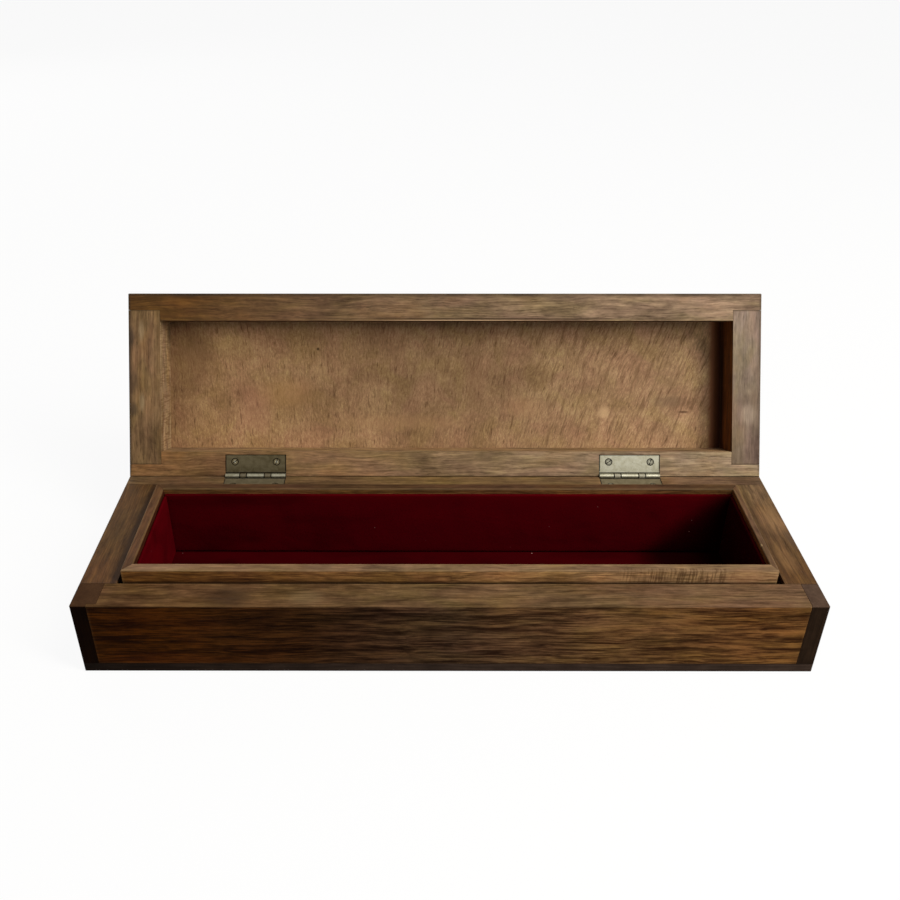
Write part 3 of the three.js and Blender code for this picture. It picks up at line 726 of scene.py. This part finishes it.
def stuff(piece, limit, floor):
    """Swells a wrapped piece with Blender's cloth, pressed from inside with its foot held, then keeps every point
    within limit of where it was cut and flattens what would sink under floor."""
    start = np.empty(len(piece.data.vertices) * 3)
    piece.data.vertices.foreach_get("co", start)
    start = start.reshape(-1, 3)
    frames = 20
    held = piece.vertex_groups.new(name="held")
    foot = start[:, 2] < floor + 0.9 * MM
    held.add([int(i) for i in np.flatnonzero(foot)], 1.0, "REPLACE")
    cloth = piece.modifiers.new("Stuffing", "CLOTH")
    cloth.settings.use_pressure = True
    cloth.settings.uniform_pressure_force = 4
    cloth.settings.effector_weights.gravity = 0
    cloth.settings.vertex_group_mass = "held"
    cloth.settings.mass = 0.15
    cloth.settings.tension_stiffness = cloth.settings.compression_stiffness = 40
    cloth.settings.bending_stiffness = 3
    cloth.point_cache.frame_start, cloth.point_cache.frame_end = 1, frames
    scene = bpy.context.scene
    for number in range(1, frames + 1):
        scene.frame_set(number)
    swollen = piece.evaluated_get(bpy.context.evaluated_depsgraph_get())
    after = np.empty(len(start) * 3)
    swollen.data.vertices.foreach_get("co", after)
    moved = after.reshape(-1, 3) - start
    piece.modifiers.remove(cloth)
    scene.frame_set(1)
    size = np.linalg.norm(moved, axis=1, keepdims=True)
    moved *= np.tanh(size / limit) * limit / np.maximum(size, 1e-9)
    ended = start + moved
    ended[:, 2] = np.maximum(ended[:, 2], floor)
    piece.data.vertices.foreach_set("co", ended.ravel())
    piece.data.update()
    piece.vertex_groups.clear()


def round_off(piece):
    """One level of subdivision, the same in the view and in a render."""
    smooth = piece.modifiers.new("Smooth", "SUBSURF")
    smooth.levels = smooth.render_levels = 1


# ------------------------------------------------------------------ what sets each board apart

# Places are in millimetres, in the frame of the board itself once it is laid flat with its grain along X.
CASE_BOARDS = {
    "case_front_board": dict(
        seed=1, pores=0.5, sway=5, bold=0.85, rings=0.26, face_contrast=1.35, contrast=0.9, edge=0.1,
        edge_colour="#6a5135", shine=0.01, rims=((0.64, 0.55, 0.43), (0.65, 0.65, 0.56), (0.72, 0.70, 0.69)),
        # The face darkens steeply towards its left end: partly the stain, partly painted shade away from the lamp.
        faces=(
            (0.20, 0.115, 0.030), (0.19, 0.15, 0.12), (0.33, 0.36, 0.52), (0.63, 0.655, 0.735), (0.69, 0.64, 0.545)
        ),
        spots=(
            ((-118, -53, 48.8), (17, 12, 3), "#2c211a", 0.7, "stain"),
            ((-76, -53, 48.8), (13, 8, 3), "#7a6647", 0.5, "stain"),
            ((-150, -59.4, 10), (46, 6, 7), "#55290f", 0.3, "stain"),
        ),
    ),
    "case_back_board": dict(
        seed=2, faces=(0.55, 0.52, 0.48), rims=((0.68, 0.66, 0.61), (0.79, 0.78, 0.56), (0.86, 0.87, 0.86)), edge=0.2,
    ),
    "case_left_board": dict(
        seed=3, faces=(0.4, 0.36, 0.32), rims=((0.42, 0.35, 0.21), (0.46, 0.38, 0.23), (0.48, 0.36, 0.22)), edge=0.3,
        edge_colour="#2a1e15",
        # Painted shade: a long dark line on the rim along its inner edge, in the gap beside the liner.
        spots=(((0, -181.5, 48.8), (110, 3.2, 3), "#2a190d", 0.7, "blot"),),
    ),
    "case_right_board": dict(
        seed=4, faces=(0.5, 0.46, 0.42), rims=((0.75, 0.76, 0.69), (0.60, 0.54, 0.42), (0.48, 0.38, 0.24)), edge=0.3,
        edge_colour="#3a2a1e",
        spots=(
            ((-12.7, 194.3, 48.8), (20, 8, 3), "#8a6a48", 0.7, "stain"),
            ((22.8, 189, 48.8), (14, 8, 3), "#80613f", 0.45, "stain"),
            ((4, 198, 48.8), (12, 4, 3), "#4a3a2c", 0.6, "blot"),
            # Painted shade: the last, long dark line runs on the rim along its inner edge, in the gap beside the
            # liner.
            ((0, 184.6, 48.8), (110, 2.4, 3), "#2a190d", 0.4, "blot"),
        ),
    ),
}
LINER_BOARDS = {
    "liner_front_strip": dict(
        seed=5, rims=(0.95, 0.96, 0.93), faces=((0.98, 0.83, 0.59), (1.68, 1.71, 1.69), (2.35, 3.0, 3.95)),
        pores=0.45, face_contrast=0.75,
        spots=(
            ((123, -41.5, 52), (35, 2, 8), "#4a2f1b", 0.35, "saw"),
            ((128, -41.5, 52), (23, 2, 8), "#3f2817", 0.4, "saw"),
            ((160, -41.5, 53), (16, 4, 8), "#a5714f", 0.35, "blot"),
        ),
    ),
    "liner_back_strip": dict(seed=6, rims=(0.38, 0.31, 0.26), faces=(0.9, 0.8, 0.7)),
    "liner_left_strip": dict(seed=7, rims=(0.47, 0.35, 0.27), faces=(0.34, 0.18, 0.17)),
    "liner_right_strip": dict(
        seed=8, rims=(0.51, 0.45, 0.42), faces=(1.1, 0.7, 0.5),
        spots=(((20.2, 174.6, 57.4), (1.4, 1.0, 2), "#a08560", 0.7, "blot"),),
    ),
}
LID_BOARDS = {
    "lid_front_rail": dict(
        seed=9, outer=-1, rims=((0.49, 0.37, 0.18), (0.93, 0.99, 1.03), (1.38, 1.58, 1.8)), faces=(0.6, 0.56, 0.5),
        spots=(
            # A dark line on the rail's face and a pale one at its inner arris: painted shade, and a painted highlight
            # where the arris catches the light.
            ((20, -43.4, 49.8), (150, 0.9, 1), "#2a1a10", 0.7, "blot"),
            ((10, -42.3, 49.8), (75, 0.8, 1), "#b89a78", 0.9, "blot"),
            ((-200, -53, 49.8), (2.2, 10, 3), "#241b14", 0.8, "blot"),
            ((200, -53, 49.8), (2.2, 10, 3), "#3a2e26", 0.6, "blot"),
        ),
    ),
    "lid_back_rail": dict(
        seed=10, outer=1, grime=0.5, wall=(2.5, 3.4, 5.4),
        rims=((1.12, 1.0, 0.74), (1.26, 1.33, 1.34), (1.42, 1.72, 2.02)), faces=(0.7, 0.66, 0.6),
        spots=(
            ((-200, 49, 49.8), (2.2, 10, 3), "#241b14", 0.8, "blot"),
            ((200, 49, 49.8), (2.2, 10, 3), "#3a2e26", 0.6, "blot"),
        ),
    ),
    "lid_left_stile": dict(
        seed=11, outer=-1, wall=(2.9, 4.1, 6.6), rims=((1.16, 1.15, 1.02), (1.04, 1.03, 0.92), (0.94, 0.93, 0.82)),
        faces=(0.75, 0.72, 0.68), contrast=0.5, face_contrast=0.5, clouds=1.0, ends=0.9,
        spots=(
            ((0, -180, 62), (60, 2.5, 13), "#6a4c30", 0.6, "saw"),
            ((4, -197, 49.8), (12, 5, 3), "#463529", 0.6, "blot"),
            ((-14, -197, 49.8), (6, 4, 3), "#3f342a", 0.6, "blot"),
            ((32, -198, 49.8), (9, 3, 3), "#3a3029", 0.7, "blot"),
            ((36, -191.8, 49.8), (9, 2.4, 3), "#9a8464", 0.6, "stain"),
            ((-9, -191.8, 49.8), (8, 2.4, 3), "#a08b6a", 0.65, "stain"),
        ),
    ),
    "lid_right_stile": dict(
        seed=12, outer=1, wall=(1.15, 0.8, 0.54), rims=((0.92, 1.08, 1.40), (1.05, 1.28, 1.74), (1.2, 1.52, 2.15)),
        faces=(0.7, 0.66, 0.6), contrast=0.36, pores=0.35, clouds=1.0, grime=0.6, ends=0.9,
        spots=(
            # Painted shadow: a near-black patch deep on the inner wall, in the corner of the recess.
            ((0, 182.2, 72), (70, 3, 8), "#0d0603", 0.9, "blot"),
            ((-8, 191, 49.8), (6, 11, 3), "#5b4a3d", 0.4, "stain"),
            ((-17, 192, 49.8), (9, 7, 3), "#b3a18d", 0.4, "stain"),
        ),
    ),
}
# Each post's colours at the foot and at the rim. The left post is drawn darker than the right, partly painted shade
# away from the lamp on the right.
POSTS = {"left_corner_post": ("#0c0401", "#442f1f"), "right_corner_post": ("#21170f", "#4c3c31")}


def oak_pieces(boards, tilt, **shared):
    """Gives each board of a table its own cut of stained oak. tilt lays the lid's boards flat, and those that run
    from front to back are turned by a quarter. shared is what all of them have."""
    for name, look in boards.items():
        piece = frame["nodes"][name]
        turn = (tilt, 0, QUARTER if "left" in name or "right" in name else 0)
        dress(piece, stained_oak("stained oak, " + name.replace("_", " "), piece, turn, {**shared, **look}))


class DISPLAYCASE_OT_boards(bpy.types.Operator):
    """Stained oak for the four boards of the case, and dyed maple for its corner posts and bottom panel"""

    bl_idname = "display_case.boards"
    bl_label = "Case boards and posts"

    def execute(self, context):
        oak_pieces(CASE_BOARDS, 0, rim=48.8)
        for number, (name, ends) in enumerate(POSTS.items()):
            post = frame["nodes"][name]
            dress(post, dyed_maple("dyed maple, " + name.replace("_", " "), (0, QUARTER, 0), number + 1, ends))
        bottom = frame["nodes"]["case_bottom_panel"]
        dress(bottom, dyed_maple("dyed maple, bottom panel", (0, 0, 0), 5, ("#2f251f", "#2f251f"), 0.3))
        return {"FINISHED"}


class DISPLAYCASE_OT_liner(bpy.types.Operator):
    """Stained oak for the mitred liner that stands proud of the rim"""

    bl_idname = "display_case.liner"
    bl_label = "Liner"

    def execute(self, context):
        oak_pieces(LINER_BOARDS, 0, rim=57.4, foot=48.4, edge=0.2)
        return {"FINISHED"}


class DISPLAYCASE_OT_lid(bpy.types.Operator):
    """Stained oak for the lid's rails and stiles, and stained plywood for its panel"""

    bl_idname = "display_case.lid"
    bl_label = "Lid"

    def execute(self, context):
        oak_pieces(LID_BOARDS, SHUT, rim=49.8, edge=0.1)
        panel = frame["nodes"]["lid_top_panel"]
        dress(panel, oak_plywood("stained oak plywood", panel, (SHUT, 0, 0)))
        return {"FINISHED"}


class DISPLAYCASE_OT_cards(bpy.types.Operator):
    """Four velvet-covered cards round the well"""

    bl_idname = "display_case.cards"
    bl_label = "Velvet cards"

    def execute(self, context):
        velvet = context.scene.display_case_velvet
        # Each card's long axis, the axis and sign of the side that looks into the well, and its depth and far colour.
        # The right card's low depth is painted shade, as it faces away from the lamp; far sets the painted shadow at
        # the right end of the well.
        cards = (
            ("front", 0, (1, 1), 1, 0.5),
            ("back", 0, (1, -1), 1.1, 0.25),
            ("left", 1, (0, 1), 1.15, 1),
            ("right", 1, (0, -1), 0.34, 1),
        )
        for number, (name, long, face, depth, far) in enumerate(cards):
            node = "lining_" + name + "_card"
            low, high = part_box(node)
            card = wrapped_board(
                "velvet_" + name + "_card", low, high, long, face, corner=0.85 * MM, crown=velvet.crown, step=3 * MM,
                settle=0.04 * MM,
            )
            dress(card, cotton_velvet("cotton velvet, " + name + " card", number + 1, lint=0.5, depth=depth, far=far))
            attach(card, "case")
            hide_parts(node)
        return {"FINISHED"}


class DISPLAYCASE_OT_pad(bpy.types.Operator):
    """The stuffed velvet pad on the floor of the well"""

    bl_idname = "display_case.pad"
    bl_label = "Velvet floor pad"

    def execute(self, context):
        low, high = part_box("lining_floor_pad")
        cut = Vector((0.08 * MM, 0.08 * MM, 0))
        pad = wrapped_board(
            "velvet_floor_pad", low + cut, high - cut - Vector((0, 0, 0.2 * MM)), long=0, face=(2, 1),
            corner=0.55 * MM, crown=0.5 * MM, step=2.5 * MM, settle=0.05 * MM,
        )
        stuff(pad, limit=0.25 * MM, floor=low.z)
        round_off(pad)
        dress(pad, cotton_velvet("cotton velvet, floor pad", 7, lint=1.0, depth=0.62, far=0.25))
        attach(pad, "case")
        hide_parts("lining_floor_pad")
        return {"FINISHED"}


class DISPLAYCASE_OT_hinges(bpy.types.Operator):
    """Nickel plate for both butt hinges, their pins and their screws"""

    bl_idname = "display_case.hinges"
    bl_label = "Hinges and screws"

    def execute(self, context):
        metal = context.scene.display_case_metal
        wear_and_shine = tuple((2 * d + 3 * b) / 5 for d, b in zip(metal.dull, metal.bright))
        # Each leaf's name and plate, how far the film covers it, how much metal shows, and its barrel.
        finishes = {
            # The left lid leaf's dull plate is partly tarnish and partly painted reflection of darker surroundings,
            # and the case leaves are drawn soiled and dark, partly dirt and partly painted shade.
            ("left", "lid"): ("tarnished nickel plate", metal.dull, 0.8, 1.0, wear_and_shine),
            ("right", "lid"): ("bright nickel plate", metal.bright, 0.6, 1.0, shade(metal.bright, 0.75)),
            ("left", "case"): ("soiled nickel plate, left", shade(metal.dull, 1.2), 0.9, 0.25, metal.dull),
            ("right", "case"): ("soiled nickel plate, right", shade(metal.dull, 1.45), 0.8, 0.25, wear_and_shine),
        }
        # The plate of each hinge's pin and screws.
        small = {"left": shade(metal.dull, 1.6), "right": shade(metal.bright, 0.55)}
        for number, (name, node) in enumerate(n for n in frame["nodes"].items() if "_hinge_" in n[0]):
            side = name.split("_")[0]
            label, plate, dirt, metallic, barrel = finishes[side, "case" if "case" in name else "lid"]
            if "screw" in name or name.endswith("pin"):
                plate, metallic = small[side], 1.0
            label += ", " + name.split("hinge_")[1].replace("_", " ")
            dress(node, nickel_plate(label, name, number, plate, dirt, metallic, barrel))
        return {"FINISHED"}


def seen(add):
    """1 for what the camera sees, straight or in a polished surface, and 0 for light that falls on the object."""
    rays = add("LightPath").node.outputs
    either = add("Math", (rays["Is Glossy Ray"], rays["Is Transmission Ray"]), operation="MAXIMUM")
    return add("Math", (rays["Is Camera Ray"], either), operation="MAXIMUM")


class DISPLAYCASE_OT_stage(bpy.types.Operator):
    """The camera at the photograph's angle, a pale floor and soft studio lamps"""

    bl_idname = "display_case.stage"
    bl_label = "Stage"

    def execute(self, context):
        scene, stage = context.scene, context.scene.display_case_stage
        scene.view_settings.view_transform = "Standard"

        camera = bpy.data.objects.new("Camera", bpy.data.cameras.new("Camera"))
        camera.data.lens, camera.data.sensor_width = stage.lens, 36.0
        camera.data.shift_x, camera.data.shift_y = 0.034537, -0.078022
        camera.data.clip_start, camera.data.clip_end = 0.01, 60
        yaw, roll = math.radians(-0.149), math.radians(-0.047)
        down = stage.pitch
        ahead = Vector((math.sin(yaw) * math.cos(down), math.cos(yaw) * math.cos(down), -math.sin(down)))
        right = Vector((math.cos(yaw), -math.sin(yaw), 0))
        over = right.cross(ahead)
        right, over = right * math.cos(roll) + over * math.sin(roll), over * math.cos(roll) - right * math.sin(roll)
        camera.matrix_world = Matrix.Translation(stage.place) @ Matrix((right, over, -ahead)).transposed().to_4x4()
        scene.collection.objects.link(camera)
        scene.camera = camera

        # One tall soft lamp high to the right and in front, and a weak one behind for the far side.
        for name, aim, away, size, power, colour in (
            ("Main lamp", Vector((0.57, -0.34, 0.75)), 1.5, (0.38, 1.7), stage.light, "#fffaf2"),
            ("Back lamp", Vector((-0.55, 0.75, 0.45)), 1.8, (1.2, 1.2), stage.light * 0.18, "#ffffff"),
        ):
            lamp = bpy.data.lights.new(name, "AREA")
            lamp.shape, lamp.energy, lamp.color = "ELLIPSE", power, linear(colour)[:3]
            lamp.size, lamp.size_y = size
            holder = bpy.data.objects.new(name, lamp)
            target = Vector((0, 0.03, 0.07))
            holder.location = target + aim.normalized() * away
            holder.rotation_euler = (-aim).to_track_quat("-Z", "Y").to_euler()
            scene.collection.objects.link(holder)

        world = scene.world or bpy.data.worlds.new("Studio")
        scene.world = world
        world.use_nodes = True
        add = adder(world.node_tree)
        light = add("Background", (linear("#f6f8ff"), stage.surround))
        white = add("Background", ((1, 1, 1, 1), 1.0))
        add("OutputWorld", (add("MixShader", (seen(add), light, white)),))

        # Paper has a faint tooth, which only shows from close by. Most of what the camera sees of it is plain white.
        floor_finish, add = finish_for("matt white paper")
        tooth = add("TexNoise", {"Vector": add("TexCoord", out="Object"), "Scale": 900.0, "Detail": 2.0})
        bump = add("Bump", {"Strength": 0.05, "Distance": 0.1 * MM, "Height": tooth})
        sheet = {"Base Color": linear("#f3f2f0"), "Roughness": 0.9, "Specular IOR Level": 0.1, "Normal": bump}
        share = add("Math", (seen(add), 0.93), operation="MULTIPLY")
        glow = add("Emission", ((1, 1, 1, 1), 1.0))
        add("OutputMaterial", (add("MixShader", (share, add("BsdfPrincipled", sheet), glow)),))
        side = 12.0  # wide enough to run past the picture at every angle
        mesh = bpy.data.meshes.new("Floor")
        mesh.from_pydata([(-side, -side, 0), (side, -side, 0), (side, side, 0), (-side, side, 0)], [], [(0, 1, 2, 3)])
        floor = bpy.data.objects.new("Floor", mesh)
        scene.collection.objects.link(floor)
        dress(floor, floor_finish)
        return {"FINISHED"}


class DISPLAYCASE_PT_sidebar(bpy.types.Panel):
    """Lists the steps that make the display case"""

    bl_label = "Display Case"
    bl_idname = "DISPLAYCASE_PT_sidebar"
    bl_space_type = "VIEW_3D"
    bl_region_type = "UI"
    bl_category = "Display Case"

    def draw(self, context):
        scene = context.scene
        for heading, settings, steps in (
            ("Wood", scene.display_case_wood, ("boards", "liner", "lid")),
            ("Velvet", scene.display_case_velvet, ("cards", "pad")),
            ("Metal", scene.display_case_metal, ("hinges",)),
            ("Stage", scene.display_case_stage, ("stage",)),
        ):
            box = self.layout.box()
            box.label(text=heading)
            for name in settings.bl_rna.properties.keys():
                if name not in ("rna_type", "name"):
                    box.prop(settings, name)
            for step in steps:
                box.operator("display_case." + step)


GROUPS = {
    "display_case_wood": DisplayCaseWood,
    "display_case_velvet": DisplayCaseVelvet,
    "display_case_metal": DisplayCaseMetal,
    "display_case_stage": DisplayCaseStage,
}
OPERATORS = (
    DISPLAYCASE_OT_stage,
    DISPLAYCASE_OT_boards,
    DISPLAYCASE_OT_liner,
    DISPLAYCASE_OT_lid,
    DISPLAYCASE_OT_cards,
    DISPLAYCASE_OT_pad,
    DISPLAYCASE_OT_hinges,
)


def register():
    for cls in (*GROUPS.values(), *OPERATORS, DISPLAYCASE_PT_sidebar):
        bpy.utils.register_class(cls)
    for name, cls in GROUPS.items():
        setattr(bpy.types.Scene, name, bpy.props.PointerProperty(type=cls))


def unregister():
    for name in GROUPS:
        delattr(bpy.types.Scene, name)
    for cls in reversed((*GROUPS.values(), *OPERATORS, DISPLAYCASE_PT_sidebar)):
        bpy.utils.unregister_class(cls)


def main():
    """Makes every piece in order."""
    register()
    for operator in OPERATORS:
        step = operator.bl_idname.split(".")[1]
        getattr(bpy.ops.display_case, step)()


if __name__ == "__main__":
    main()
